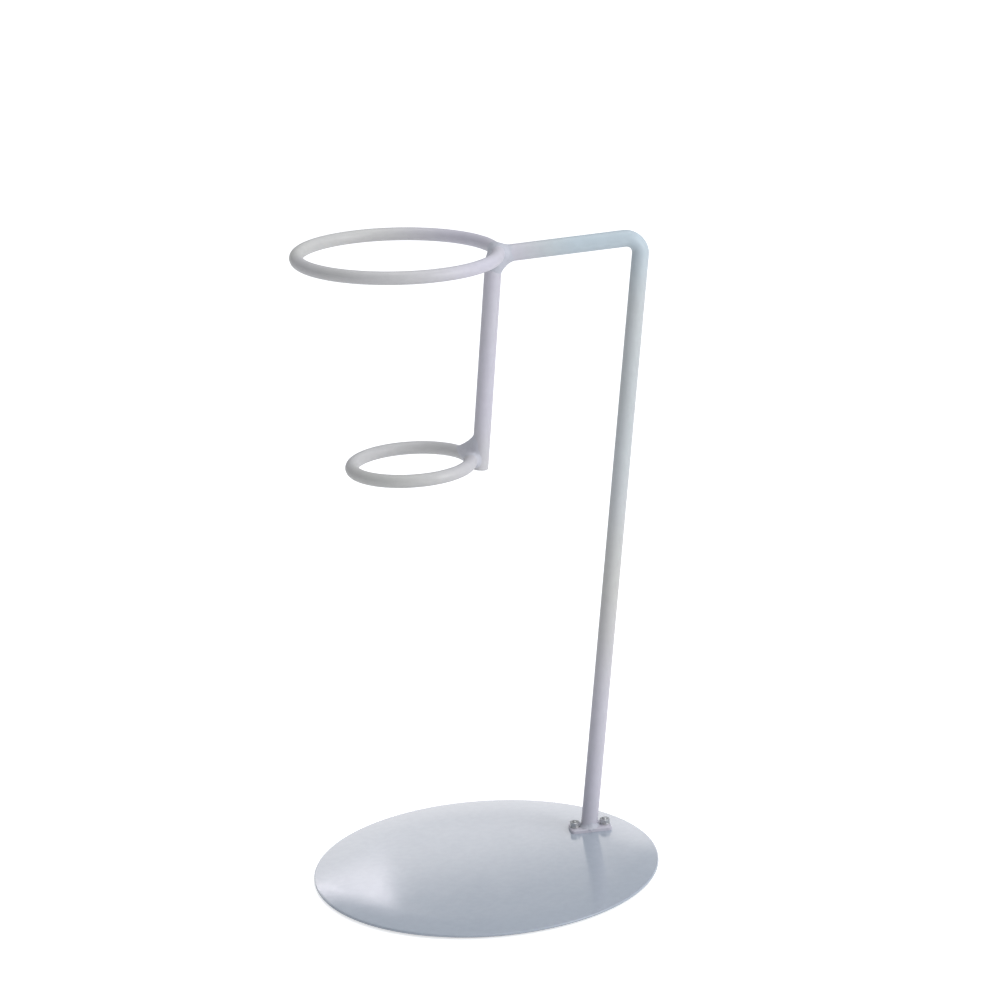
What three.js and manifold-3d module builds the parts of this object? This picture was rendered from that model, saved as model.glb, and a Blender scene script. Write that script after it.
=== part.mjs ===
// A free-standing hair dryer holder: a bent steel bar on a round plate, with a large wire ring for the
// dryer's barrel and a small one below it for the nozzle. Millimetres, +Z up. The origin is the centre
// of the base, on the table. The bars and both rings lie across one upright plane, parallel to X and Z.
import * as THREE from "three";
import { mergeVertices } from "three/addons/utils/BufferGeometryUtils.js";
import Module from "manifold-3d";

const wasm = await Module();
wasm.setup();

// ---------------------------------------------------------------- driving dimensions

const GAP = 0.3; // clearance between two pieces that touch
const rad = THREE.MathUtils.degToRad;

const PAD = { radius: 89.5, thickness: 1 };
const PLATE = { radius: 92.5, thickness: 1.5, edge: 0.5 };
const BAR_RADIUS = 4.5;
const WIRE_RADIUS = 3.5;

const PLANE_Y = 33.5; // the upright plane of the bars, behind the base's centre
const FOOT_X = 62.2; // where the upright's axis meets the plate
const UPRIGHT_LEAN = rad(7.85); // outwards, towards +X
const CORNER_Z = 331; // where the axes of upright and arm cross
const BEND_RADIUS = 8;
const ARM_FALL = rad(1.9); // the arm drops a little towards the ring

const UPPER_RING = { radius: 52.4, x: -21.9, z: 332.8, rise: rad(2.45) };
const LOWER_RING = { radius: 31.4, x: -21.9, z: 219.9, rise: rad(0.3) };
const DROP = { topX: 28.8, lean: rad(7.15), endZ: 213.6 };

// The foot strip reaches further out than in, because the bar leans over its outer end.
const STRIP = { inner: 10.5, outer: 12, width: 12, corner: 2, thickness: 1.5 };
const SCREWS = [
  { name: "inner", x: FOOT_X - 7.6 },
  { name: "outer", x: FOOT_X + 9 },
];
const SCREW = { radius: 1.25, headRadius: 2.35, headHeight: 1.2, length: 7, tip: 0.3 };
const HOLE_RADIUS = SCREW.radius + GAP;
const WASHER = { radius: 2.75, thickness: 0.5 };
const NUT = { acrossFlats: 5, height: 2, chamfer: 0.3 };

// Weld beads are lumps with three half axes, in millimetres.
const FOOT_BEAD = { length: 4.4, width: 1.7, height: 1.8 };
const ARM_BEAD = { length: 5, width: 2.6, height: 2.6, turn: rad(40) };
const DROP_BEAD = { length: 4.4, width: 2.6, height: 3 };
const GUSSET = { reach: 9, rise: 8, halfWidth: 2.2, turn: rad(35) };

const PLATE_BOTTOM = PAD.thickness + GAP;
const PLATE_TOP = PLATE_BOTTOM + PLATE.thickness;
const STRIP_BOTTOM = PLATE_TOP + GAP;
const STRIP_TOP = STRIP_BOTTOM + STRIP.thickness;
const WASHER_BOTTOM = STRIP_TOP + GAP;
const NUT_BOTTOM = WASHER_BOTTOM + WASHER.thickness + GAP;

// ---------------------------------------------------------------- materials

const paint = new THREE.MeshStandardMaterial({ color: 0xc9ccd9, roughness: 0.38, metalness: 0.1 });
const weldPaint = new THREE.MeshStandardMaterial({ color: 0xbcbfce, roughness: 0.5, metalness: 0.1 });
const zinc = new THREE.MeshStandardMaterial({ color: 0x8f9298, roughness: 0.35, metalness: 0.9 });
const rubber = new THREE.MeshStandardMaterial({ color: 0x2b2c2f, roughness: 0.85, metalness: 0 });

// ---------------------------------------------------------------- solids

function solidOf(geometry) {
  const bare = geometry.clone();
  bare.deleteAttribute("normal");
  bare.deleteAttribute("uv");
  const merged = mergeVertices(bare, 1e-4);
  const vertProperties = merged.attributes.position.array;
  const triVerts = new Uint32Array(merged.index.array);
  return new wasm.Manifold(new wasm.Mesh({ numProp: 3, vertProperties, triVerts }));
}

function geometryOf(solid) {
  const { vertProperties, triVerts } = solid.getMesh();
  const shared = new THREE.BufferGeometry();
  shared.setAttribute("position", new THREE.BufferAttribute(vertProperties, 3));
  shared.setIndex(new THREE.BufferAttribute(triVerts, 1));
  const flat = shared.toNonIndexed();
  flat.computeVertexNormals();
  return flat;
}

function cut(geometry, ...cutters) {
  const left = cutters.reduce((solid, cutter) => solid.subtract(solidOf(cutter)), solidOf(geometry));
  return geometryOf(left);
}

// Cuts a piece back to its neighbours at a joint, and keeps the largest piece that is left.
function cutToJoint(geometry, ...cutters) {
  const pieces = solidOf(cut(geometry, ...cutters)).decompose();
  pieces.sort((a, b) => b.volume() - a.volume());
  return geometryOf(pieces[0]);
}

function mesh(name, geometry, material) {
  const made = new THREE.Mesh(geometry, material);
  made.name = name;
  return made;
}

// ---------------------------------------------------------------- shapes that repeat

// A regular polygon that stands for a circle.
function roundSection(radius, sides = 20) {
  const corners = [];
  for (let i = 0; i < sides; i++) {
    const turn = (2 * Math.PI * i) / sides;
    corners.push(new THREE.Vector2(radius * Math.cos(turn), radius * Math.sin(turn)));
  }
  return new THREE.Shape(corners);
}

// A solid of revolution about Z, from [radius, height] points that start and end on the axis.
function turned(profile, segments) {
  const points = profile.map(([radius, height]) => new THREE.Vector2(radius, height));
  return new THREE.LatheGeometry(points, segments).rotateX(Math.PI / 2);
}

function disc(radius, bottom, height, segments) {
  const top = bottom + height;
  return turned([[0, bottom], [radius, bottom], [radius, top], [0, top]], segments);
}

// Everything below a level, over the foot of the bars.
function blockBelow(level) {
  const size = 60;
  return new THREE.BoxGeometry(size, size, size).translate(FOOT_X, 0, level - size / 2);
}

// The centreline of a bar with one bend: straight, a round arc, straight. Its steps follow the
// parameter, so the straights take one step each and the arc takes the rest.
class BentLine extends THREE.Curve {
  constructor(start, corner, end, bendRadius, arcSteps) {
    super();
    this.steps = arcSteps + 2;
    this.start = start;
    this.end = end;
    const before = start.clone().sub(corner).normalize();
    const after = end.clone().sub(corner).normalize();
    const half = before.angleTo(after) / 2;
    const inwards = before.clone().add(after).normalize();
    this.centre = corner.clone().addScaledVector(inwards, bendRadius / Math.sin(half));
    this.first = corner.clone().addScaledVector(before, bendRadius / Math.tan(half));
    this.last = corner.clone().addScaledVector(after, bendRadius / Math.tan(half));
    this.turn = Math.PI - 2 * half;
    this.axis = before.clone().cross(after).normalize().negate();
  }

  getPoint(t, target = new THREE.Vector3()) {
    const step = t * this.steps;
    const lastStep = this.steps - 1;
    if (step <= 1) return target.copy(this.start).lerp(this.first, step);
    if (step >= lastStep) return target.copy(this.last).lerp(this.end, step - lastStep);
    const angle = (this.turn * (step - 1)) / (this.steps - 2);
    target.copy(this.first).sub(this.centre).applyAxisAngle(this.axis, angle);
    return target.add(this.centre);
  }

  getUtoTmapping(u) {
    return u;
  }
}

function straightBar(from, to, radius) {
  const line = new THREE.LineCurve3(from, to);
  return new THREE.ExtrudeGeometry(roundSection(radius), { steps: 1, extrudePath: line });
}

function wireRing({ radius, x, z, rise }, wireRadius) {
  const ring = new THREE.TorusGeometry(radius, wireRadius, 12, 72);
  return ring.rotateY(rise).translate(x, 0, z);
}

// ---------------------------------------------------------------- the bars' axes, in their own plane

const inPlane = (x, z) => new THREE.Vector3(x, 0, z);

function uprightX(z) {
  return FOOT_X + Math.tan(UPRIGHT_LEAN) * (z - PLATE_TOP);
}

const corner = inPlane(uprightX(CORNER_Z), CORNER_Z);

function armZ(x) {
  return CORNER_Z - Math.tan(ARM_FALL) * (corner.x - x);
}

function dropX(z) {
  return DROP.topX - Math.tan(DROP.lean) * (armZ(DROP.topX) - z);
}

// The bar's ends run past their joints, and are cut back to them.
function uprightAndArm(radius) {
  const start = inPlane(uprightX(0), 0);
  const end = inPlane(DROP.topX, armZ(DROP.topX));
  const line = new BentLine(start, corner, end, BEND_RADIUS, 10);
  return new THREE.ExtrudeGeometry(roundSection(radius), { steps: line.steps, extrudePath: line });
}

function hangingBar(radius) {
  const top = inPlane(DROP.topX, armZ(DROP.topX));
  return straightBar(inPlane(dropX(DROP.endZ), DROP.endZ), top, radius);
}

// ---------------------------------------------------------------- base

function antiSlipPad() {
  return disc(PAD.radius, 0, PAD.thickness, 96);
}

function basePlate() {
  const { radius, edge } = PLATE;
  const profile = [
    [0, PLATE_BOTTOM],
    [radius - edge, PLATE_BOTTOM],
    [radius - 0.3 * edge, PLATE_BOTTOM + 0.3 * edge],
    [radius, PLATE_BOTTOM + edge],
    [radius, PLATE_TOP - edge],
    [radius - 0.3 * edge, PLATE_TOP - 0.3 * edge],
    [radius - edge, PLATE_TOP],
    [0, PLATE_TOP],
  ];
  const holes = SCREWS.map(({ x }) => countersink().translate(x, PLANE_Y, 0));
  return cut(turned(profile, 96), ...holes);
}

// The hole that a countersunk screw needs in the plate.
function countersink() {
  const below = PLATE_BOTTOM - 1;
  const mouth = SCREW.headRadius + GAP;
  const profile = [
    [0, below],
    [mouth, below],
    [mouth, PLATE_BOTTOM],
    [HOLE_RADIUS, PLATE_BOTTOM + SCREW.headHeight],
    [HOLE_RADIUS, PLATE_TOP + 1],
    [0, PLATE_TOP + 1],
  ];
  return turned(profile, 24);
}

// ---------------------------------------------------------------- foot fixing

function footStrip() {
  const { inner, outer, width, corner: round, thickness } = STRIP;
  const half = width / 2;
  const strip = new THREE.Shape();
  strip.moveTo(-inner + round, -half);
  strip.lineTo(outer - round, -half);
  strip.absarc(outer - round, -half + round, round, -Math.PI / 2, 0);
  strip.absarc(outer - round, half - round, round, 0, Math.PI / 2);
  strip.absarc(-inner + round, half - round, round, Math.PI / 2, Math.PI);
  strip.absarc(-inner + round, -half + round, round, Math.PI, 1.5 * Math.PI);
  const plain = new THREE.ExtrudeGeometry(strip, { depth: thickness, bevelEnabled: false, curveSegments: 4 });
  plain.translate(FOOT_X, PLANE_Y, STRIP_BOTTOM);
  const drills = SCREWS.map(({ x }) => disc(HOLE_RADIUS, PLATE_TOP, 5, 24).translate(x, PLANE_Y, 0));
  return cut(plain, ...drills);
}

function footScrew() {
  const { radius, headRadius, headHeight, length, tip } = SCREW;
  const profile = [
    [0, 0],
    [headRadius, 0],
    [radius, headHeight],
    [radius, length - tip],
    [radius - tip, length],
    [0, length],
  ];
  return turned(profile, 20).translate(0, 0, PLATE_BOTTOM);
}

function footWasher() {
  const ring = disc(WASHER.radius, WASHER_BOTTOM, WASHER.thickness, 24);
  return cut(ring, disc(HOLE_RADIUS, WASHER_BOTTOM - 1, WASHER.thickness + 2, 24));
}

// A hexagon with its corners turned off at both ends. Two of its flats face along the strip.
function footNut() {
  const { acrossFlats, height, chamfer } = NUT;
  const corners = acrossFlats / Math.sqrt(3);
  const hexagon = new THREE.ExtrudeGeometry(roundSection(corners, 6), { depth: height, bevelEnabled: false });
  const barrelProfile = [
    [0, 0],
    [corners - chamfer, 0],
    [corners, chamfer],
    [corners, height - chamfer],
    [corners - chamfer, height],
    [0, height],
  ];
  const blank = geometryOf(solidOf(hexagon).intersect(solidOf(turned(barrelProfile, 24))));
  const bored = cut(blank, disc(HOLE_RADIUS, -1, height + 2, 24));
  return bored.rotateZ(rad(30)).translate(0, 0, NUT_BOTTOM);
}

// ---------------------------------------------------------------- bars and rings

function uprightRod() {
  const blockAtFoot = blockBelow(STRIP_TOP + GAP);
  return cutToJoint(uprightAndArm(BAR_RADIUS), blockAtFoot, wireRing(UPPER_RING, WIRE_RADIUS + GAP));
}

function dropRod() {
  const ring = wireRing(UPPER_RING, WIRE_RADIUS + GAP);
  return cutToJoint(hangingBar(BAR_RADIUS), uprightAndArm(BAR_RADIUS + GAP), ring);
}

function upperRing() {
  return wireRing(UPPER_RING, WIRE_RADIUS);
}

// The small ring is pressed a little into the bar, as resistance welding leaves it.
function lowerRing() {
  return cut(wireRing(LOWER_RING, WIRE_RADIUS), hangingBar(BAR_RADIUS + GAP));
}

// ---------------------------------------------------------------- weld beads

function bead({ length, width, height }) {
  return new THREE.SphereGeometry(1, 16, 10).scale(length, width, height);
}

function footWeld(side) {
  const level = STRIP_TOP + GAP;
  const lump = bead(FOOT_BEAD).translate(uprightX(level), side * BAR_RADIUS, level);
  return cutToJoint(lump, uprightAndArm(BAR_RADIUS + GAP), blockBelow(level));
}

// In the corner between the arm's side and the outside of the large ring.
function armWeld(side) {
  const ringEdge = UPPER_RING.x + UPPER_RING.radius;
  const besideArm = side * (BAR_RADIUS + WIRE_RADIUS * 0.3);
  const lump = bead(ARM_BEAD).rotateZ(-side * ARM_BEAD.turn);
  lump.translate(ringEdge + ARM_BEAD.length, besideArm, armZ(ringEdge) + WIRE_RADIUS * 0.25);
  return cutToJoint(
    lump,
    uprightAndArm(BAR_RADIUS + GAP),
    wireRing(UPPER_RING, WIRE_RADIUS + GAP),
    hangingBar(BAR_RADIUS + GAP),
  );
}

// In the corner below the arm, on the outside of the hanging bar.
function dropWeld() {
  const level = armZ(DROP.topX) - BAR_RADIUS - 0.4 * DROP_BEAD.height;
  const besideBar = dropX(level) + BAR_RADIUS + 0.3 * DROP_BEAD.length;
  const lump = bead(DROP_BEAD).translate(besideBar, 0, level);
  return cutToJoint(
    lump,
    uprightAndArm(BAR_RADIUS + GAP),
    wireRing(UPPER_RING, WIRE_RADIUS + GAP),
    hangingBar(BAR_RADIUS + GAP),
  );
}

// A three-cornered gusset of weld metal on top of the small ring, against the hanging bar. It is
// turned about the bar's axis, towards the rear arc of the ring.
function ringWeld() {
  const { reach, rise, halfWidth, turn } = GUSSET;
  const profile = new THREE.Shape();
  profile.moveTo(WIRE_RADIUS, -WIRE_RADIUS);
  profile.lineTo(WIRE_RADIUS, rise);
  profile.lineTo(0, rise);
  profile.quadraticCurveTo(-0.4 * reach, 0.45 * rise, -reach, 0.5);
  profile.lineTo(-reach, -1);
  profile.lineTo(-0.6 * reach, -WIRE_RADIUS);
  const depth = 2 * halfWidth;
  const plain = new THREE.ExtrudeGeometry(profile, { depth, bevelEnabled: false, curveSegments: 6 });
  plain.rotateX(Math.PI / 2).translate(-BAR_RADIUS, halfWidth, 0).rotateZ(-turn);
  const level = LOWER_RING.z + WIRE_RADIUS;
  plain.translate(dropX(level), 0, level);
  return cutToJoint(plain, wireRing(LOWER_RING, WIRE_RADIUS + GAP), hangingBar(BAR_RADIUS + GAP));
}

// ---------------------------------------------------------------- assembly

const holder = new THREE.Group();

holder.add(mesh("anti_slip_pad", antiSlipPad(), rubber));
holder.add(mesh("base_plate", basePlate(), paint));
holder.add(mesh("foot_plate", footStrip(), paint));

for (const { name, x } of SCREWS) {
  const fixing = new THREE.Group();
  fixing.position.set(x, PLANE_Y, 0);
  fixing.add(mesh(`foot_screw_${name}`, footScrew(), zinc));
  fixing.add(mesh(`foot_washer_${name}`, footWasher(), zinc));
  fixing.add(mesh(`foot_nut_${name}`, footNut(), zinc));
  holder.add(fixing);
}

const bars = new THREE.Group();
bars.position.y = PLANE_Y;
bars.add(mesh("upright_rod", uprightRod(), paint));
bars.add(mesh("drop_rod", dropRod(), paint));
bars.add(mesh("upper_ring", upperRing(), paint));
bars.add(mesh("lower_ring", lowerRing(), paint));
bars.add(mesh("foot_weld_front", footWeld(-1), weldPaint));
bars.add(mesh("foot_weld_rear", footWeld(1), weldPaint));
bars.add(mesh("arm_weld_front", armWeld(-1), weldPaint));
bars.add(mesh("arm_weld_rear", armWeld(1), weldPaint));
bars.add(mesh("drop_weld", dropWeld(), weldPaint));
bars.add(mesh("ring_weld", ringWeld(), weldPaint));
holder.add(bars);

export default holder;
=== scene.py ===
import math

import bmesh
import bpy
import numpy as np
from mathutils import Matrix, Vector, noise


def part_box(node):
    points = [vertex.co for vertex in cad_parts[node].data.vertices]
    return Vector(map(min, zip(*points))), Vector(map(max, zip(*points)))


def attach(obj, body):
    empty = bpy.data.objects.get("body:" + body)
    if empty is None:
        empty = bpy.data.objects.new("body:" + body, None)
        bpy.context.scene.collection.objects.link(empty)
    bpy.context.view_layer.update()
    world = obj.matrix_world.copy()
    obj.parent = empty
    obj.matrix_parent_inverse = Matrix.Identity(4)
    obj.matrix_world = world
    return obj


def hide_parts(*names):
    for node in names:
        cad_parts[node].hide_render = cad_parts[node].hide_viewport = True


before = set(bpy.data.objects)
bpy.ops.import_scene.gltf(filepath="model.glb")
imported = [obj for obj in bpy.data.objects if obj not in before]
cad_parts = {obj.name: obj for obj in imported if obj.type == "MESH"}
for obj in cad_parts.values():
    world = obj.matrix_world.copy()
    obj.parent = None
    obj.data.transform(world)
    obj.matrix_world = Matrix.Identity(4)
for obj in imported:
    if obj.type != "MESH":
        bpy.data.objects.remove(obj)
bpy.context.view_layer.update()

MM = 0.001


# ---------------------------------------------------------------- sizes


def box_centre(node):
    low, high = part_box(node)
    return (low + high) / 2


def box_size(node):
    low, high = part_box(node)
    return high - low


BAR_RADIUS = box_size("upright_rod").y / 2

PLATE_RADIUS = box_size("base_plate").x / 2
PLATE_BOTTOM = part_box("base_plate")[0].z
PLATE_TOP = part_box("base_plate")[1].z
STRIP_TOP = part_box("foot_plate")[1].z

# The bars' axes all lie in one upright plane. The upright leans out from its foot, and one tight
# bend turns it into the arm, which falls a little towards the large ring. No node's box gives these
# sizes, except where the plane is, so they are stated here.
PLANE_Y = box_centre("upright_rod").y
FOOT_X = 62.2 * MM
UPRIGHT_LEAN = math.radians(7.85)
CORNER_Z = 331 * MM
BEND_RADIUS = 8 * MM
ARM_FALL = math.radians(1.9)
DROP_TOP_X = 28.8 * MM
DROP_LEAN = math.radians(7.15)
DROP_END_Z = 213.6 * MM
WIRE_RADIUS = 3.5 * MM
RING_X = -21.9 * MM


def in_plane(x, z):
    return Vector((x, PLANE_Y, z))


def upright_at(z):
    return in_plane(FOOT_X + math.tan(UPRIGHT_LEAN) * (z - PLATE_TOP), z)


CORNER = upright_at(CORNER_Z)


def arm_at(x):
    return in_plane(x, CORNER_Z - math.tan(ARM_FALL) * (CORNER.x - x))


def drop_at(z):
    top = arm_at(DROP_TOP_X)
    return in_plane(top.x - math.tan(DROP_LEAN) * (top.z - z), z)


class WireRing:
    """A wire ring. Its height, radius and tilt are read from the box of its CAD node."""

    def __init__(self, node, centre_x):
        size = box_size(node)
        self.radius = size.y / 2 - WIRE_RADIUS
        self.centre = in_plane(centre_x, box_centre(node).z)
        self.rise = math.asin((size.z / 2 - WIRE_RADIUS) / self.radius)
        # out: towards the bars, along the tilted ring. across: over the ring. axis: square to both.
        self.out = Vector((math.cos(self.rise), 0, -math.sin(self.rise)))
        self.across = Vector((0, 1, 0))
        self.axis = self.out.cross(self.across)

    def at(self, turn, radius=None):
        reach = self.radius if radius is None else radius
        return self.centre + reach * (math.cos(turn) * self.out + math.sin(turn) * self.across)


BARREL_RING = WireRing("upper_ring", RING_X)
NOZZLE_RING = WireRing("lower_ring", RING_X)


# ---------------------------------------------------------------- mesh tools


def piece(name, mesh, material, replaced, sharp=35):
    """Puts a finished mesh in the scene as a piece that rides with the holder."""
    mesh.name = name
    for polygon in mesh.polygons:
        polygon.use_smooth = True
    mesh.set_sharp_from_angle(angle=math.radians(sharp))
    made = bpy.data.objects.new(name, mesh)
    bpy.context.scene.collection.objects.link(made)
    mesh.materials.clear()
    mesh.materials.append(material)
    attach(made, "root")
    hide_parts(*replaced)
    return made


def mesh_of(vertices, faces):
    mesh = bpy.data.meshes.new("mesh")
    mesh.from_pydata([tuple(v) for v in vertices], [], faces)
    shape = bmesh.new()
    shape.from_mesh(mesh)
    bmesh.ops.recalc_face_normals(shape, faces=shape.faces)
    shape.to_mesh(mesh)
    shape.free()
    return mesh


def skin_sections(sections, closed=False):
    """Joins rows of points into a tube. An open tube gets a fan over each end, from its middle."""
    rows, sides = len(sections), len(sections[0])
    vertices = [point for section in sections for point in section]
    faces = []
    for row in range(rows if closed else rows - 1):
        here, above = row * sides, (row + 1) % rows * sides
        for i in range(sides):
            j = (i + 1) % sides
            faces.append((here + i, here + j, above + j, above + i))
    if not closed:
        for row in (0, rows - 1):
            middle = len(vertices)
            vertices.append(sum(sections[row], Vector()) / sides)
            faces += [(row * sides + i, row * sides + (i + 1) % sides, middle) for i in range(sides)]
    return mesh_of(vertices, faces)


def level_circle(centre, radius, height, segments):
    """Points of a level circle about an upright axis."""
    turns = [2 * math.pi * i / segments for i in range(segments)]
    return [centre + Vector((radius * math.cos(t), radius * math.sin(t), height)) for t in turns]


def turned(profile, segments, centre=Vector((0, 0, 0)), closed=False):
    """A solid of revolution about an upright axis, from (radius, height) pairs. A closed one has a hole."""
    return skin_sections([level_circle(centre, r, z, segments) for r, z in profile], closed)


def arc(centre_r, centre_z, radius, start, end, steps):
    """Points of a round corner of a profile, from one angle to another, in degrees."""
    angles = [math.radians(start + (end - start) * i / steps) for i in range(steps + 1)]
    return [(centre_r + radius * math.cos(a), centre_z + radius * math.sin(a)) for a in angles]


def round_edged(radius, bottom, top, edge, flats=(0.05, 0.25, 0.5, 0.75), steps=6):
    """Profile of a disc with both rims rounded. flats says where rings of points cross the faces."""
    rings = [share * radius for share in flats]
    lower = arc(radius - edge, bottom + edge, edge, -90, 0, steps)
    upper = arc(radius - edge, top - edge, edge, 0, 90, steps)
    return [(r, bottom) for r in rings] + lower + upper + [(r, top) for r in reversed(rings)]


def combined(mesh, other, operation):
    """mesh with another closed mesh cut from it, or with only the space that they share."""
    first = bpy.data.objects.new("first", mesh)
    second = bpy.data.objects.new("second", other)
    for made in (first, second):
        bpy.context.scene.collection.objects.link(made)
    boolean = first.modifiers.new("boolean", "BOOLEAN")
    boolean.operation = operation
    boolean.solver = "EXACT"
    boolean.object = second
    bpy.context.view_layer.update()
    evaluated = first.evaluated_get(bpy.context.evaluated_depsgraph_get())
    result = bpy.data.meshes.new_from_object(evaluated)
    for made in (first, second):
        bpy.data.objects.remove(made)
    return result


def bar_sections(path, radius_at, sides=48):
    """Round sections square to a path in the bars' plane. radius_at gives (in-plane, across) radii."""
    sections = []
    for i, point in enumerate(path):
        ahead = path[min(i + 1, len(path) - 1)] - path[max(i - 1, 0)]
        along = ahead.normalized()
        across = Vector((0, 1, 0))
        inside = along.cross(across)
        in_radius, across_radius = radius_at(i)
        turns = [2 * math.pi * k / sides for k in range(sides)]
        sections.append([
            point + in_radius * math.cos(t) * inside + across_radius * math.sin(t) * across for t in turns
        ])
    return sections


def spaced(start, end, step):
    """Points along a straight, both ends included, at most step apart."""
    count = max(1, math.ceil((end - start).length / step))
    return [start.lerp(end, i / count) for i in range(count + 1)]


# ---------------------------------------------------------------- welds, as surfaces of a distance field


def to_segment(points, start, end, radius):
    start, end = np.array(start), np.array(end)
    along = end - start
    share = np.clip((points - start) @ along / (along @ along), 0, 1)
    return np.linalg.norm(points - start - share[:, None] * along, axis=1) - radius


def to_ring(points, ring, radius):
    from_centre = points - np.array(ring.centre)
    height = from_centre @ np.array(ring.axis)
    flat = np.linalg.norm(from_centre - height[:, None] * np.array(ring.axis), axis=1)
    return np.hypot(flat - ring.radius, height) - radius


def blended(distances, fillet):
    """The nearest of several distances, with a rounded fillet where two of them meet."""
    result = distances[0]
    for other in distances[1:]:
        overlap = np.maximum(fillet - np.abs(result - other), 0) / fillet
        result = np.minimum(result, other) - overlap**2 * fillet / 4
    return result


def surface_of(field, centre, reach, cell):
    """A mesh of the surface where a field is zero, with one corner in each cell that it crosses."""
    count = int(np.ceil(reach / cell)) + 2
    steps = (np.arange(2 * count + 1) - count) * cell
    grid = np.stack(np.meshgrid(steps, steps, steps, indexing="ij"), axis=-1) + np.array(centre)
    value = field(grid.reshape(-1, 3)).reshape(grid.shape[:3])
    cells = tuple(n - 1 for n in value.shape)
    total, crossings = np.zeros(cells + (3,)), np.zeros(cells)
    links = []
    for axis in range(3):
        near, far = [slice(None)] * 3, [slice(None)] * 3
        near[axis], far[axis] = slice(None, -1), slice(1, None)
        before, after = value[tuple(near)], value[tuple(far)]
        crossed = (before < 0) != (after < 0)
        gap = np.where(crossed, before - after, 1)
        place = grid[tuple(near)] + (before / gap)[..., None] * (grid[tuple(far)] - grid[tuple(near)])
        u, v = [a for a in range(3) if a != axis]
        for shift_u in (0, 1):
            for shift_v in (0, 1):
                part = [slice(None)] * 3
                part[u] = slice(shift_u, shift_u + cells[u])
                part[v] = slice(shift_v, shift_v + cells[v])
                hit = crossed[tuple(part)]
                total += np.where(hit[..., None], place[tuple(part)], 0)
                crossings += hit
        links.append((axis, u, v, crossed, before < 0))
    number = np.full(cells, -1)
    used = crossings > 0
    number[used] = np.arange(used.sum())
    faces = []
    for axis, u, v, crossed, inside in links:
        for index in np.argwhere(crossed):
            corners = []
            for du, dv in ((1, 1), (0, 1), (0, 0), (1, 0)):
                at = index.copy()
                at[u] -= du
                at[v] -= dv
                corners.append(int(number[tuple(at)]))
            faces.append(tuple(corners))
    return total[used] / crossings[used][:, None], faces


def settled(points, field, passes=3, probe=0.02 * MM):
    """Moves points onto the surface where a field is zero, along the field's own slope."""
    for _ in range(passes):
        rises = [field(points + probe * e) - field(points - probe * e) for e in np.eye(3)]
        slope = np.stack(rises, axis=1) / (2 * probe)
        points = points - field(points)[:, None] * slope / (slope**2).sum(axis=1)[:, None]
    return points


def lumpiness(point):
    """The uneven height of a bead laid by hand: coarse lumps, with finer ones on them."""
    coarse, fine, fine_share = 2.6 * MM, 1.1 * MM, 0.4
    return noise.noise(Vector(point) / coarse) + fine_share * noise.noise(Vector(point) / fine)


def weld(name, material, replaced, field, centre, reach, lump=0.12 * MM, cell=0.45 * MM):
    """A lumpy weld bead over a joint. It sinks into the bars before it ends."""
    points, faces = surface_of(field, centre, reach, cell)
    points = settled(points, field)
    lumps = [lumpiness(point) for point in points]
    mesh = mesh_of(points, faces)
    for vertex, height in zip(mesh.vertices, lumps):
        vertex.co += vertex.normal * height * lump
    return piece(name, mesh, material, replaced, sharp=70)


def past_reach(points, centre, reach):
    """How far points lie outside the round space that a bead is kept within."""
    return np.linalg.norm(points - np.array(centre), axis=1) - reach


def swell(points, centre, reaches, proud, sink):
    """How far a bead stands proud of its joint: most at the centre, and below zero at its reach."""
    share = (((points - np.array(centre)) / np.array(reaches)) ** 2).sum(axis=1)
    return proud - (proud + sink) * share


# ---------------------------------------------------------------- shader tools


def new_group(name, inputs, outputs):
    """A shader node group with named sockets. Each socket is (name, kind, default)."""
    group = bpy.data.node_groups.new(name, "ShaderNodeTree")
    for in_out, sockets in (("INPUT", inputs), ("OUTPUT", outputs)):
        for label, kind, *default in sockets:
            socket = group.interface.new_socket(label, in_out=in_out, socket_type="NodeSocket" + kind)
            if default:
                socket.default_value = default[0]
    return group, group.nodes.new("NodeGroupInput"), group.nodes.new("NodeGroupOutput")


def add(tree, kind, **values):
    """A node with its properties and the values of its unlinked sockets set."""
    node = tree.nodes.new("ShaderNode" + kind)
    for key, value in values.items():
        if hasattr(node, key):
            setattr(node, key, value)
        else:
            node.inputs[key.replace("_", " ")].default_value = value
    return node


def link(tree, *pairs):
    for source, target in pairs:
        tree.links.new(source, target)


def feed(tree, socket, value):
    """Sets a socket to a plain value, or links another node's output to it."""
    if isinstance(value, (int, float, tuple)):
        socket.default_value = value
    else:
        link(tree, (value, socket))


def math_node(tree, operation, first, second):
    node = add(tree, "Math", operation=operation)
    for socket, value in zip(node.inputs, (first, second)):
        feed(tree, socket, value)
    return node.outputs[0]


def remap(tree, value, low, high, to_low=0.0, to_high=1.0):
    node = add(tree, "MapRange", interpolation_type="SMOOTHSTEP")
    for label, number in (("From Min", low), ("From Max", high), ("To Min", to_low), ("To Max", to_high)):
        node.inputs[label].default_value = number
    link(tree, (value, node.inputs["Value"]))
    return node.outputs["Result"]


def mix_colours(tree, share, first, second):
    # On a Mix node set to colours, input 0 is the share, 6 and 7 are the colours, and output 2 is the mix.
    node = add(tree, "Mix", data_type="RGBA", blend_type="MIX")
    for socket, value in zip((node.inputs[0], node.inputs[6], node.inputs[7]), (share, first, second)):
        feed(tree, socket, value)
    return node.outputs[2]


def object_noise(tree, scale, detail=2.0, roughness=0.5):
    """Noise fixed to the object. Its scale, in waves per metre, is a number or another node's output."""
    coordinates = add(tree, "TexCoord")
    texture = add(tree, "TexNoise", noise_dimensions="3D")
    feed(tree, texture.inputs["Scale"], scale)
    texture.inputs["Detail"].default_value = detail
    texture.inputs["Roughness"].default_value = roughness
    link(tree, (coordinates.outputs["Object"], texture.inputs["Vector"]))
    return texture


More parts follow.
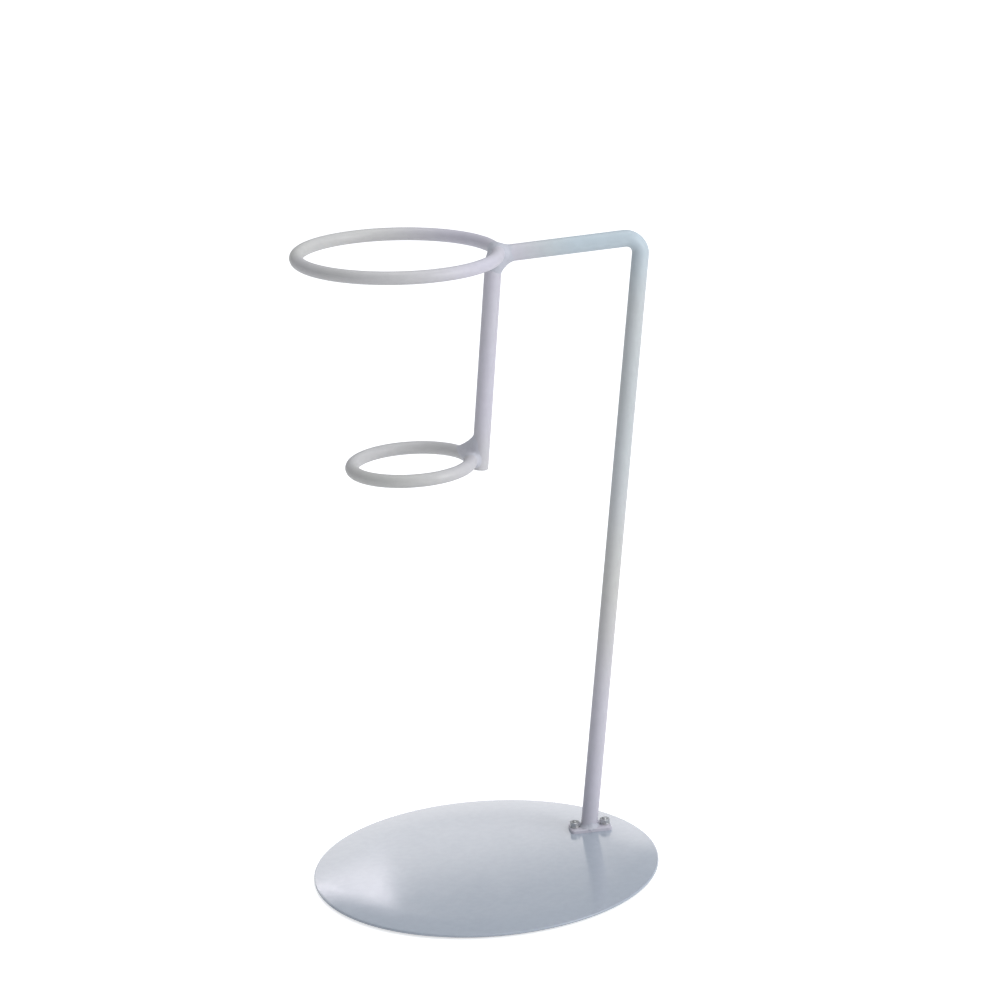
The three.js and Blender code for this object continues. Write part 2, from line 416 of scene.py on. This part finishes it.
# ---------------------------------------------------------------- shared effects


def orange_peel_group():
    """The soft dimpling of a baked powder coat, as height and as a share for roughness."""
    group, given, out = new_group(
        "orange_peel",
        [("Dimples per metre", "Float", 700.0), ("Waves per metre", "Float", 90.0)],
        [("Height", "Float"), ("Sheen share", "Float")],
    )
    dimples = object_noise(group, given.outputs["Dimples per metre"], detail=1.5)
    waves = object_noise(group, given.outputs["Waves per metre"], detail=1.0)
    low_waves = math_node(group, "MULTIPLY", waves.outputs[0], 2.5)
    height = math_node(group, "ADD", dimples.outputs[0], low_waves)
    link(group, (height, out.inputs["Height"]), (waves.outputs[0], out.inputs["Sheen share"]))
    return group


def tone_drift_group():
    """Slow drift of the colour with place on the object: lilac low down and by the hanging bar, cool up the
    upright.

    The heights and the distances along X between which each tone comes or goes are in metres.
    """
    group, given, out = new_group(
        "tone_drift",
        [("Plain", "Color"), ("Lilac", "Color"), ("Cool", "Color"), ("Patches per metre", "Float", 14.0)],
        [("Colour", "Color")],
    )
    coordinates = add(group, "TexCoord")
    split = add(group, "SeparateXYZ")
    link(group, (coordinates.outputs["Object"], split.inputs[0]))
    along, height = split.outputs["X"], split.outputs["Z"]
    near_floor = remap(group, height, 0.06, 0.15, 1.0, 0.0)
    high_up = remap(group, height, 0.18, 0.26)
    near_bars = remap(group, along, -0.03, 0.03, 0.1, 1.0)
    inner_side = remap(group, along, 0.035, 0.070, 1.0, 0.0)
    lilac_top = math_node(group, "MULTIPLY", high_up, math_node(group, "MULTIPLY", near_bars, inner_side))
    patches = object_noise(group, given.outputs["Patches per metre"], detail=1.0)
    drift = remap(group, patches.outputs[0], 0.35, 0.65, -0.15, 0.15)
    lilac = math_node(group, "ADD", math_node(group, "ADD", near_floor, lilac_top), drift)
    lilac.node.use_clamp = True
    half_way_up = remap(group, height, 0.13, 0.22, 0.0, 0.4)
    at_arm = remap(group, height, 0.29, 0.335, 0.0, 0.6)
    outer_bar = remap(group, along, 0.035, 0.075)
    cool = math_node(group, "MULTIPLY", outer_bar, math_node(group, "ADD", half_way_up, at_arm))
    body = mix_colours(group, lilac, given.outputs["Plain"], given.outputs["Lilac"])
    colour = mix_colours(group, cool, body, given.outputs["Cool"])
    fine = object_noise(group, 260, detail=3.0)
    mottled = remap(group, fine.outputs[0], 0.3, 0.7, 0.98, 1.015)
    scaled = add(group, "VectorMath", operation="SCALE")
    link(group, (colour, scaled.inputs[0]), (mottled, scaled.inputs["Scale"]))
    link(group, (scaled.outputs[0], out.inputs["Colour"]))
    return group


def rim_wear_group():
    """Marks the rims, corners and crests, where a coat is thinnest and is rubbed first."""
    group, given, out = new_group("rim_wear", [("Breakup per metre", "Float", 400.0)], [("Mask", "Float")])
    geometry = add(group, "NewGeometry")
    crest = remap(group, geometry.outputs["Pointiness"], 0.53, 0.60)
    breakup = object_noise(group, given.outputs["Breakup per metre"], detail=4.0)
    patchy = remap(group, breakup.outputs[0], 0.42, 0.62)
    mask = math_node(group, "MULTIPLY", crest, patchy)
    link(group, (mask, out.inputs["Mask"]))
    return group


def settled_dust_group():
    """A faint film of dust on faces that look up, thicker in some places."""
    group, given, out = new_group(
        "settled_dust", [("Specks per metre", "Float", 900.0)], [("Mask", "Float")]
    )
    geometry = add(group, "NewGeometry")
    split = add(group, "SeparateXYZ")
    link(group, (geometry.outputs["Normal"], split.inputs[0]))
    upward = remap(group, split.outputs["Z"], 0.75, 1.0)
    film = object_noise(group, 28, detail=5.0, roughness=0.6)
    specks = object_noise(group, given.outputs["Specks per metre"], detail=1.0)
    clouds = remap(group, film.outputs[0], 0.42, 0.70)
    grit = remap(group, specks.outputs[0], 0.66, 0.74)
    amount = math_node(group, "ADD", clouds, grit)
    mask = math_node(group, "MULTIPLY", amount, upward)
    link(group, (mask, out.inputs["Mask"]))
    return group


ORANGE_PEEL = orange_peel_group()
TONE_DRIFT = tone_drift_group()
RIM_WEAR = rim_wear_group()
SETTLED_DUST = settled_dust_group()


def use(tree, group, **values):
    """A shared effect placed in a material, with the material's own values on its inputs."""
    node = tree.nodes.new("ShaderNodeGroup")
    node.node_tree = group
    for key, value in values.items():
        node.inputs[key.replace("_", " ")].default_value = value
    return node


# ---------------------------------------------------------------- materials


def new_material(name):
    material = bpy.data.materials.new(name)
    material.use_nodes = True
    tree = material.node_tree
    tree.nodes.clear()
    shader = tree.nodes.new("ShaderNodeBsdfPrincipled")
    output = tree.nodes.new("ShaderNodeOutputMaterial")
    link(tree, (shader.outputs[0], output.inputs["Surface"]))
    return material, tree, shader


def bump(tree, shader, height, distance):
    node = add(tree, "Bump", Strength=1.0, Distance=distance)
    link(tree, (height, node.inputs["Height"]), (node.outputs[0], shader.inputs["Normal"]))


PLAIN_GREY = (0.525, 0.518, 0.502, 1)
LILAC_GREY = (0.545, 0.525, 0.595, 1)
COOL_GREY = (0.470, 0.545, 0.595, 1)
WELD_PLAIN = (0.600, 0.588, 0.630, 1)
WELD_LILAC = (0.478, 0.488, 0.545, 1)
PLATE_GREY = (0.372, 0.410, 0.470, 1)
PRIMER_GREY = (0.66, 0.66, 0.68, 1)
DUST_WHITE = (0.68, 0.68, 0.68, 1)
ZINC_BLUE = (0.52, 0.54, 0.58, 1)
ZINC_STRAW = (0.60, 0.58, 0.54, 1)
RUBBED_ZINC = (0.72, 0.72, 0.74, 1)
RUBBER_GREY = (0.090, 0.090, 0.095, 1)
DUSTY_RUBBER = (0.20, 0.20, 0.20, 1)


def powder_coat(name, roughness, spread, peel, dust, plain, lilac, cool):
    """Satin powder coat: tone drift, orange peel, pale rubbed rims and a little dust."""
    material, tree, shader = new_material(name)
    tone = use(tree, TONE_DRIFT, Plain=plain, Lilac=lilac, Cool=cool)
    rims = use(tree, RIM_WEAR)
    film = use(tree, SETTLED_DUST)
    skin = use(tree, ORANGE_PEEL)
    worn = math_node(tree, "MULTIPLY", rims.outputs["Mask"], 0.35)
    dusty = math_node(tree, "MULTIPLY", film.outputs["Mask"], dust)
    rubbed = mix_colours(tree, worn, tone.outputs["Colour"], PRIMER_GREY)
    colour = mix_colours(tree, dusty, rubbed, DUST_WHITE)
    sheen = remap(tree, skin.outputs["Sheen share"], 0.3, 0.7, roughness - spread, roughness + spread)
    dulled = math_node(tree, "ADD", sheen, math_node(tree, "MULTIPLY", film.outputs["Mask"], 0.4 * dust))
    link(tree, (colour, shader.inputs["Base Color"]), (dulled, shader.inputs["Roughness"]))
    bump(tree, shader, skin.outputs["Height"], peel)
    shader.inputs["IOR"].default_value = 1.5
    return material


def zinc_plate():
    """Bright zinc on small fasteners: a fine grain, with a patchy blue and straw passivation."""
    material, tree, shader = new_material("zinc_plate")
    patches = object_noise(tree, 420, detail=3.0)
    tint = mix_colours(tree, patches.outputs[0], ZINC_BLUE, ZINC_STRAW)
    rims = use(tree, RIM_WEAR, Breakup_per_metre=1500.0)
    worn = math_node(tree, "MULTIPLY", rims.outputs["Mask"], 0.5)
    colour = mix_colours(tree, worn, tint, RUBBED_ZINC)
    grain = object_noise(tree, 2600, detail=2.0)
    roughness = remap(tree, grain.outputs[0], 0.3, 0.7, 0.26, 0.46)
    link(tree, (colour, shader.inputs["Base Color"]), (roughness, shader.inputs["Roughness"]))
    bump(tree, shader, grain.outputs[0], 0.01 * MM)
    shader.inputs["Metallic"].default_value = 1.0
    return material


def pad_rubber():
    """Dark grey pressed rubber: a pebbled grain, with pale dust in it."""
    material, tree, shader = new_material("pad_rubber")
    coordinates = add(tree, "TexCoord")
    pebbles = add(tree, "TexVoronoi", feature="SMOOTH_F1")
    pebbles.inputs["Scale"].default_value = 850
    link(tree, (coordinates.outputs["Object"], pebbles.inputs["Vector"]))
    clouds = object_noise(tree, 35, detail=4.0)
    share = remap(tree, clouds.outputs[0], 0.4, 0.75, 0.0, 0.35)
    colour = mix_colours(tree, share, RUBBER_GREY, DUSTY_RUBBER)
    roughness = remap(tree, clouds.outputs[0], 0.3, 0.7, 0.62, 0.82)
    link(tree, (colour, shader.inputs["Base Color"]), (roughness, shader.inputs["Roughness"]))
    bump(tree, shader, pebbles.outputs["Distance"], 0.12 * MM)
    return material


BAR_COAT = powder_coat(
    "satin_powder_coat",
    roughness=0.34,
    spread=0.05,
    peel=0.012 * MM,
    dust=0.05,
    plain=PLAIN_GREY,
    lilac=LILAC_GREY,
    cool=COOL_GREY,
)
# The plate's coat is glossier than the bars', and one tone all over.
PLATE_COAT = powder_coat(
    "plate_powder_coat",
    roughness=0.13,
    spread=0.012,
    peel=0.005 * MM,
    dust=0.02,
    plain=PLATE_GREY,
    lilac=PLATE_GREY,
    cool=PLATE_GREY,
)
# Over a weld bead the coat is duller and rougher.
WELD_COAT = powder_coat(
    "weld_powder_coat",
    roughness=0.42,
    spread=0.06,
    peel=0.025 * MM,
    dust=0.05,
    plain=WELD_PLAIN,
    lilac=WELD_LILAC,
    cool=COOL_GREY,
)
ZINC = zinc_plate()
RUBBER = pad_rubber()


# ---------------------------------------------------------------- base


def make_pad():
    """The anti-slip sheet, up against the plate, with shallow rings pressed into its underside."""
    radius = box_size("anti_slip_pad").x / 2
    groove, depth, edge, top_edge = 1.5 * MM, 0.3 * MM, 0.3 * MM, 0.2 * MM
    near_axis = 0.1 * MM
    profile = [(near_axis, 0)]
    for share in (0.2, 0.4, 0.6, 0.8, 0.95):
        middle = share * radius
        profile += [
            (middle - groove, 0),
            (middle - 0.6 * groove, depth),
            (middle + 0.6 * groove, depth),
            (middle + groove, 0),
        ]
    profile += arc(radius - edge, edge, edge, -90, 0, 4)
    profile += [
        (radius, PLATE_BOTTOM - top_edge),
        (radius - top_edge, PLATE_BOTTOM),
        (near_axis, PLATE_BOTTOM),
    ]
    piece("grip_pad", turned(profile, segments=192), RUBBER, ["anti_slip_pad"])


def make_plate():
    """The round steel plate: both of its rims are rounded under the coat."""
    profile = round_edged(PLATE_RADIUS, PLATE_BOTTOM, PLATE_TOP, edge=0.6 * MM)
    piece("round_plate", turned(profile, segments=288), PLATE_COAT, ["base_plate"])


# ---------------------------------------------------------------- foot fixing


def make_strip():
    """The foot strip: round corners, and its upper edge rounded by the coat."""
    low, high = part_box("foot_plate")
    corner, edge = 2 * MM, 0.45 * MM
    corner_steps, edge_steps = 8, 5
    levels = [(PLATE_TOP, 0)]
    for i in range(edge_steps + 1):
        turn = math.radians(90 * i / edge_steps)
        levels.append((high.z - edge + edge * math.sin(turn), edge * (1 - math.cos(turn))))
    sections = []
    for z, inset in levels:
        round_off = corner - inset
        section = []
        for x, y, start in (
            (high.x - corner, high.y - corner, 0),
            (low.x + corner, high.y - corner, 90),
            (low.x + corner, low.y + corner, 180),
            (high.x - corner, low.y + corner, 270),
        ):
            for i in range(corner_steps + 1):
                turn = math.radians(start + 90 * i / corner_steps)
                section.append(Vector((x + round_off * math.cos(turn), y + round_off * math.sin(turn), z)))
        sections.append(section)
    piece("foot_strip", skin_sections(sections), BAR_COAT, ["foot_plate"])


def make_washer(side, axis):
    """A plain punched washer, on the strip. Its outer rims are rounded."""
    node = "foot_washer_" + side
    outer, hole, edge = box_size(node).x / 2, 1.4 * MM, 0.15 * MM
    bottom, top = STRIP_TOP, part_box(node)[1].z
    profile = arc(outer - edge, bottom + edge, edge, -90, 0, 3)
    profile += arc(outer - edge, top - edge, edge, 0, 90, 3)
    profile += [(hole, top), (hole, bottom)]
    mesh = turned(profile, segments=64, centre=axis, closed=True)
    piece("washer_" + side, mesh, ZINC, [node])


def make_nut(side, axis, bottom, turn):
    """A hexagon nut: corners turned off top and bottom, bore chamfered at both mouths."""
    node = "foot_nut_" + side
    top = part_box(node)[1].z
    flats = box_size(node).x
    corner = flats / math.sqrt(3)
    angles = [turn + i * math.pi / 3 for i in range(6)]
    corners = [axis + corner * Vector((math.cos(a), math.sin(a), 0)) for a in angles]
    hexagon = skin_sections([[c + Vector((0, 0, z)) for c in corners] for z in (bottom, top)])
    near_axis = 0.05 * MM
    face, clear, cone_height = flats / 2 * 0.97, corner * 1.01, 0.35 * MM
    barrel = [
        (near_axis, bottom),
        (face, bottom),
        (clear, bottom + cone_height),
        (clear, top - cone_height),
        (face, top),
        (near_axis, top),
    ]
    bore, mouth, mouth_depth, past = 1.25 * MM, 1.45 * MM, 0.25 * MM, 1 * MM
    drill = [
        (near_axis, bottom - past),
        (mouth + past, bottom - past),
        (mouth, bottom),
        (bore, bottom + mouth_depth),
        (bore, top - mouth_depth),
        (mouth, top),
        (mouth + past, top + past),
        (near_axis, top + past),
    ]
    body = combined(hexagon, turned(barrel, segments=96, centre=axis), "INTERSECT")
    body = combined(body, turned(drill, segments=48, centre=axis), "DIFFERENCE")
    piece("nut_" + side, body, ZINC, [node], sharp=25)


def make_screw(side, axis):
    """A countersunk screw with a real thread, which shows above the nut."""
    node = "foot_screw_" + side
    low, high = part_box(node)
    head, shank, pitch, depth = (high.x - low.x) / 2, 1.23 * MM, 0.45 * MM, 0.24 * MM
    rim_inset, rim_height, head_height = 0.2 * MM, 0.15 * MM, 1.3 * MM
    thread_start, tip_length = low.z + 2.2 * MM, 0.35 * MM
    tip_slope, flank_slope = 0.9, 2.6
    segments, step = 40, pitch / 10
    below_thread = [
        (head - rim_inset, low.z),
        (head, low.z + rim_height),
        (shank, low.z + head_height),
        (shank, thread_start),
    ]
    sections = [level_circle(axis, radius, height, segments) for radius, height in below_thread]
    height = thread_start
    while height < high.z:
        height += step
        tip = max(0, height - (high.z - tip_length))
        section = []
        for i in range(segments):
            turn = 2 * math.pi * i / segments
            phase = (height / pitch - i / segments) % 1
            flank = min(1, flank_slope * min(phase, 1 - phase))
            radius = min(shank - depth * (1 - flank), shank - tip_slope * tip)
            section.append(axis + Vector((radius * math.cos(turn), radius * math.sin(turn), height)))
        sections.append(section)
    piece("screw_" + side, skin_sections(sections), ZINC, [node], sharp=50)


def make_fixings():
    """Both screws with their washers and nuts. The nuts came to rest at slightly different turns."""
    for side, degrees in (("inner", 30), ("outer", 33)):
        centre = box_centre("foot_screw_" + side)
        axis = Vector((centre.x, centre.y, 0))
        washer_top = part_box("foot_washer_" + side)[1].z
        make_washer(side, axis)
        make_nut(side, axis, washer_top, math.radians(degrees))
        make_screw(side, axis)


# ---------------------------------------------------------------- bars and rings


# A straight length of bar has a section at least this often.
SECTION_GAP = 6 * MM


def make_upright():
    """Upright and arm, one bar. The cold bend leaves it a little flattened there."""
    sunk, short_of_ring = 0.3 * MM, 1.2 * MM
    flattening, bulge_share = 0.045, 0.5
    foot = upright_at(STRIP_TOP - sunk)
    end = arm_at(BARREL_RING.at(0).x + short_of_ring)
    before = (foot - CORNER).normalized()
    after = (end - CORNER).normalized()
    half = before.angle(after) / 2
    centre = CORNER + (before + after).normalized() * BEND_RADIUS / math.sin(half)
    first = CORNER + before * BEND_RADIUS / math.tan(half)
    last = CORNER + after * BEND_RADIUS / math.tan(half)
    steps = 20
    turn = (math.pi - 2 * half) / steps
    bend = [centre + Matrix.Rotation(-turn * i, 3, "Y") @ (first - centre) for i in range(1, steps)]
    rise, run = spaced(foot, first, SECTION_GAP), spaced(last, end, SECTION_GAP)
    path = rise + bend + run

    def radius_at(i):
        place = (i - len(rise) + 1) / steps
        squash = flattening * math.sin(math.pi * min(max(place, 0), 1)) ** 2
        return BAR_RADIUS * (1 - squash), BAR_RADIUS * (1 + bulge_share * squash)

    mesh = skin_sections(bar_sections(path, radius_at))
    piece("bent_bar", mesh, BAR_COAT, ["upright_rod"])


def make_drop():
    """The hanging bar: its sawn lower end has a small chamfer, softened by the coat.

    Its top stops under the large ring, so that only the weld bead shows inside the ring.
    """
    below_ring, chamfer = 10 * MM, 0.5 * MM
    end = drop_at(DROP_END_Z)
    top = drop_at(BARREL_RING.at(0).z - below_ring)
    along = (top - end).normalized()
    rounding = (0, 0.15, 0.5, 1)
    path = [end + share * chamfer * along for share in rounding]
    path += spaced(end + 2 * chamfer * along, top, SECTION_GAP)
    insets = [share * chamfer for share in reversed(rounding)]

    def radius_at(i):
        radius = BAR_RADIUS - (insets[i] if i < len(insets) else 0)
        return radius, radius

    mesh = skin_sections(bar_sections(path, radius_at))
    piece("hanging_bar", mesh, BAR_COAT, ["drop_rod"])


def make_ring(name, ring, node, segments):
    """A wire ring with a slight seam where its butt weld was ground flush, next to the bars."""
    sides = 36
    seam, seam_width, seam_height = math.radians(20), 1.2 * MM, 0.02
    sections = []
    for i in range(segments):
        turn = 2 * math.pi * i / segments
        radial = math.cos(turn) * ring.out + math.sin(turn) * ring.across
        off_seam = (turn - seam) * ring.radius / seam_width
        wire = WIRE_RADIUS * (1 + seam_height * math.exp(-(off_seam**2)))
        section = []
        for k in range(sides):
            around = 2 * math.pi * k / sides
            outward = math.cos(around) * radial + math.sin(around) * ring.axis
            section.append(ring.at(turn) + wire * outward)
        sections.append(section)
    piece(name, skin_sections(sections, closed=True), BAR_COAT, [node])


# ---------------------------------------------------------------- welds


def make_arm_weld():
    """Arm, large ring and hanging bar run together in one Y-shaped joint."""
    corner = BARREL_RING.at(0)
    centre = corner + Vector((0.5, 0, -1.5)) * MM
    arm_start, arm_end = arm_at(corner.x + 1.5 * MM), arm_at(corner.x + 40 * MM)
    drop_top, drop_low = drop_at(corner.z - 8.5 * MM), drop_at(corner.z - 40 * MM)
    reach, bar_fillet, wire_fillet = 15 * MM, 9 * MM, 3.5 * MM

    def field(points):
        arm = to_segment(points, arm_start, arm_end, BAR_RADIUS)
        drop = to_segment(points, drop_top, drop_low, BAR_RADIUS)
        wire = to_ring(points, BARREL_RING, WIRE_RADIUS)
        joined = blended([blended([arm, drop], bar_fillet), wire], wire_fillet)
        proud = swell(points, centre, (reach, reach, reach), proud=0.35 * MM, sink=0.90 * MM)
        return np.maximum(joined - proud, past_reach(points, centre, reach))

    replaced = ["arm_weld_front", "arm_weld_rear", "drop_weld"]
    weld("arm_bead", WELD_COAT, replaced, field, centre, reach)


def make_ring_weld():
    """The small ring runs into the hanging bar, with a web of weld metal towards its rear arc."""
    joint = NOZZLE_RING.at(0)
    centre = drop_at(joint.z) + Vector((-4.5, 2.5, 2.5)) * MM
    drop_low, drop_high = drop_at(joint.z - 20 * MM), drop_at(joint.z + 40 * MM)
    # Each rib of the web runs from a place on the ring, in degrees, to a height up the bar, in mm.
    web = []
    for degrees, rise in ((8, 6.5), (18, 8.5), (28, 10.5)):
        on_ring = NOZZLE_RING.at(math.radians(degrees)) + Vector((0, 0, 1.3)) * MM
        web.append((on_ring, drop_at(joint.z + rise * MM) + Vector((-2.4, 0, 0)) * MM))
    reach, rib_radius, fillet, short_of_end = 15 * MM, 1.5 * MM, 3.2 * MM, 1.2 * MM
    bar_end = drop_at(DROP_END_Z)
    down = (drop_low - drop_high).normalized()

    def field(points):
        parts = [
            to_segment(points, drop_low, drop_high, BAR_RADIUS),
            to_ring(points, NOZZLE_RING, WIRE_RADIUS),
        ]
        parts += [to_segment(points, low, high, rib_radius) for low, high in web]
        proud = swell(points, centre, (reach, reach, reach), proud=0.25 * MM, sink=0.75 * MM)
        past_end = (points - np.array(bar_end)) @ np.array(down) + short_of_end
        outside = np.maximum(past_reach(points, centre, reach), past_end)
        return np.maximum(blended(parts, fillet) - proud, outside)

    weld("nozzle_ring_bead", WELD_COAT, ["ring_weld"], field, centre, reach)


def make_foot_weld():
    """A bead at the front and one at the rear of the upright's foot, run together round it."""
    centre = upright_at(STRIP_TOP)
    high = upright_at(STRIP_TOP + 40 * MM)
    reach, fillet = 8.5 * MM, 3 * MM
    swell_reaches = (5.6 * MM, 7.4 * MM, 5.5 * MM)
    bead_bottom = STRIP_TOP - 0.4 * MM

    def field(points):
        height = points[:, 2]
        parts = [to_segment(points, centre, high, BAR_RADIUS), height - STRIP_TOP]
        proud = swell(points, centre, swell_reaches, proud=0.30 * MM, sink=0.30 * MM)
        outside = np.maximum(past_reach(points, centre, reach), bead_bottom - height)
        return np.maximum(blended(parts, fillet) - proud, outside)

    replaced = ["foot_weld_front", "foot_weld_rear"]
    weld("foot_bead", WELD_COAT, replaced, field, centre, reach, lump=0.18 * MM, cell=0.4 * MM)


# ---------------------------------------------------------------- studio


def make_camera():
    """A long lens, a little above the holder, turned and rolled by a few degrees."""
    azimuth, elevation, roll = math.radians(-8.0), math.radians(16.93), math.radians(-3.48)
    aim, distance = Vector((0.0207, 0.0090, 0.2028)), 1.868
    sight = Vector((
        -math.sin(azimuth) * math.cos(elevation),
        math.cos(azimuth) * math.cos(elevation),
        -math.sin(elevation),
    ))
    right = Vector((math.cos(azimuth), math.sin(azimuth), 0))
    up = right.cross(sight)
    right, up = math.cos(roll) * right + math.sin(roll) * up, math.cos(roll) * up - math.sin(roll) * right
    camera = bpy.data.cameras.new("camera")
    camera.lens = 128.4
    camera.sensor_width = 36
    camera.clip_end = 100
    holder = bpy.data.objects.new("camera", camera)
    bpy.context.scene.collection.objects.link(holder)
    turn = Matrix((right, up, -sight)).transposed().to_4x4()
    holder.matrix_world = Matrix.Translation(aim - distance * sight) @ turn
    bpy.context.scene.camera = holder


def make_floor():
    """A white sweep of floor. It glows a little to the camera, so that it reads as plain white."""
    half = 12.0
    mesh = mesh_of([(-half, -half, 0), (half, -half, 0), (half, half, 0), (-half, half, 0)], [(0, 1, 2, 3)])
    material, tree, shader = new_material("white_floor")
    paper = object_noise(tree, 3, detail=2.0)
    cool_white, plain_white = (0.86, 0.86, 0.87, 1), (0.88, 0.88, 0.88, 1)
    colour = mix_colours(tree, paper.outputs[0], cool_white, plain_white)
    rays = add(tree, "LightPath")
    glow = remap(tree, rays.outputs["Is Camera Ray"], 0.0, 1.0, 0.10, 0.62)
    link(tree, (colour, shader.inputs["Base Color"]), (glow, shader.inputs["Emission Strength"]))
    shader.inputs["Roughness"].default_value = 0.9
    shader.inputs["Specular IOR Level"].default_value = 0.1
    shader.inputs["Emission Color"].default_value = (1, 1, 1, 1)
    floor = bpy.data.objects.new("floor", mesh)
    mesh.materials.append(material)
    bpy.context.scene.collection.objects.link(floor)


def make_world():
    """A soft room, bright at the right in front and dim at the left behind. The camera sees it white."""
    world = bpy.data.worlds.new("studio")
    bpy.context.scene.world = world
    world.use_nodes = True
    tree = world.node_tree
    sky = tree.nodes["Background"]
    coordinates = add(tree, "TexCoord")
    facing = add(tree, "VectorMath", operation="DOT_PRODUCT")
    bright_side = Vector((0.80, -0.35, 0.45)).normalized()
    facing.inputs[1].default_value = bright_side
    link(tree, (coordinates.outputs["Generated"], facing.inputs[0]))
    room = remap(tree, facing.outputs["Value"], -0.9, 0.9, 0.20, 0.85)
    rays = add(tree, "LightPath")
    seen = rays.outputs["Is Camera Ray"]
    unseen = math_node(tree, "SUBTRACT", 1.0, seen)
    strength = math_node(tree, "ADD", seen, math_node(tree, "MULTIPLY", unseen, room))
    room_light, white = (0.93, 0.96, 1.0, 1), (1, 1, 1, 1)
    colour = mix_colours(tree, seen, room_light, white)
    link(tree, (strength, sky.inputs["Strength"]), (colour, sky.inputs["Color"]))


def soft_light(name, place, target, size, brightness, colour=(1, 1, 1), tilt=0):
    """A rectangular soft box, rolled by tilt, in degrees. The light it gives grows with its size."""
    lamp = bpy.data.lights.new(name, "AREA")
    lamp.shape = "RECTANGLE"
    lamp.size, lamp.size_y = size
    lamp.energy = brightness * math.pi * size[0] * size[1]
    lamp.color = colour
    holder = bpy.data.objects.new(name, lamp)
    bpy.context.scene.collection.objects.link(holder)
    aim = (Vector(target) - Vector(place)).to_track_quat("-Z", "Y").to_matrix()
    turn = aim @ Matrix.Rotation(math.radians(tilt), 3, "Z")
    holder.matrix_world = Matrix.Translation(Vector(place)) @ turn.to_4x4()
    holder.visible_camera = False
    return holder


def make_lights():
    """Soft boxes. The two low ones behind, which the plate mirrors, light only the plate.

    Only the pad under the plate shades those two, so the bars' mirror image on the plate stays faint.
    """
    middle = (0, 0, 0.17)
    soft_light(
        "key_right",
        place=(1.2, -0.85, 0.65),
        target=middle,
        size=(0.8, 1.1),
        brightness=3.3,
        colour=(0.98, 0.99, 1.0),
    )
    soft_light("overhead", place=(0.1, 0.1, 1.6), target=middle, size=(1.2, 1.2), brightness=1.1)
    low_back = soft_light(
        "low_back",
        place=(0, 0.62, 0.137),
        target=(0, 0, 0.137),
        size=(1.6, 0.276),
        brightness=1.85,
        colour=(1.0, 0.94, 0.905),
        tilt=5,
    )
    left_streak = soft_light(
        "left_streak",
        place=(-0.045, 0.61, 0.276),
        target=(-0.045, 0, 0.276),
        size=(0.11, 0.02),
        brightness=5.4,
        colour=(1.0, 0.93, 1.0),
        tilt=4,
    )
    lit = bpy.data.collections.new("lit_by_low_boxes")
    lit.objects.link(bpy.data.objects["round_plate"])
    shading = bpy.data.collections.new("shades_low_boxes")
    shading.objects.link(bpy.data.objects["grip_pad"])
    for holder in (low_back, left_streak):
        holder.light_linking.receiver_collection = lit
        holder.light_linking.blocker_collection = shading


make_pad()
make_plate()
make_strip()
make_fixings()
make_upright()
make_drop()
make_ring("barrel_ring", BARREL_RING, "upper_ring", segments=240)
make_ring("nozzle_ring", NOZZLE_RING, "lower_ring", segments=180)
make_arm_weld()
make_ring_weld()
make_foot_weld()

make_camera()
make_floor()
make_world()
make_lights()
bpy.context.scene.view_settings.view_transform = "Standard"
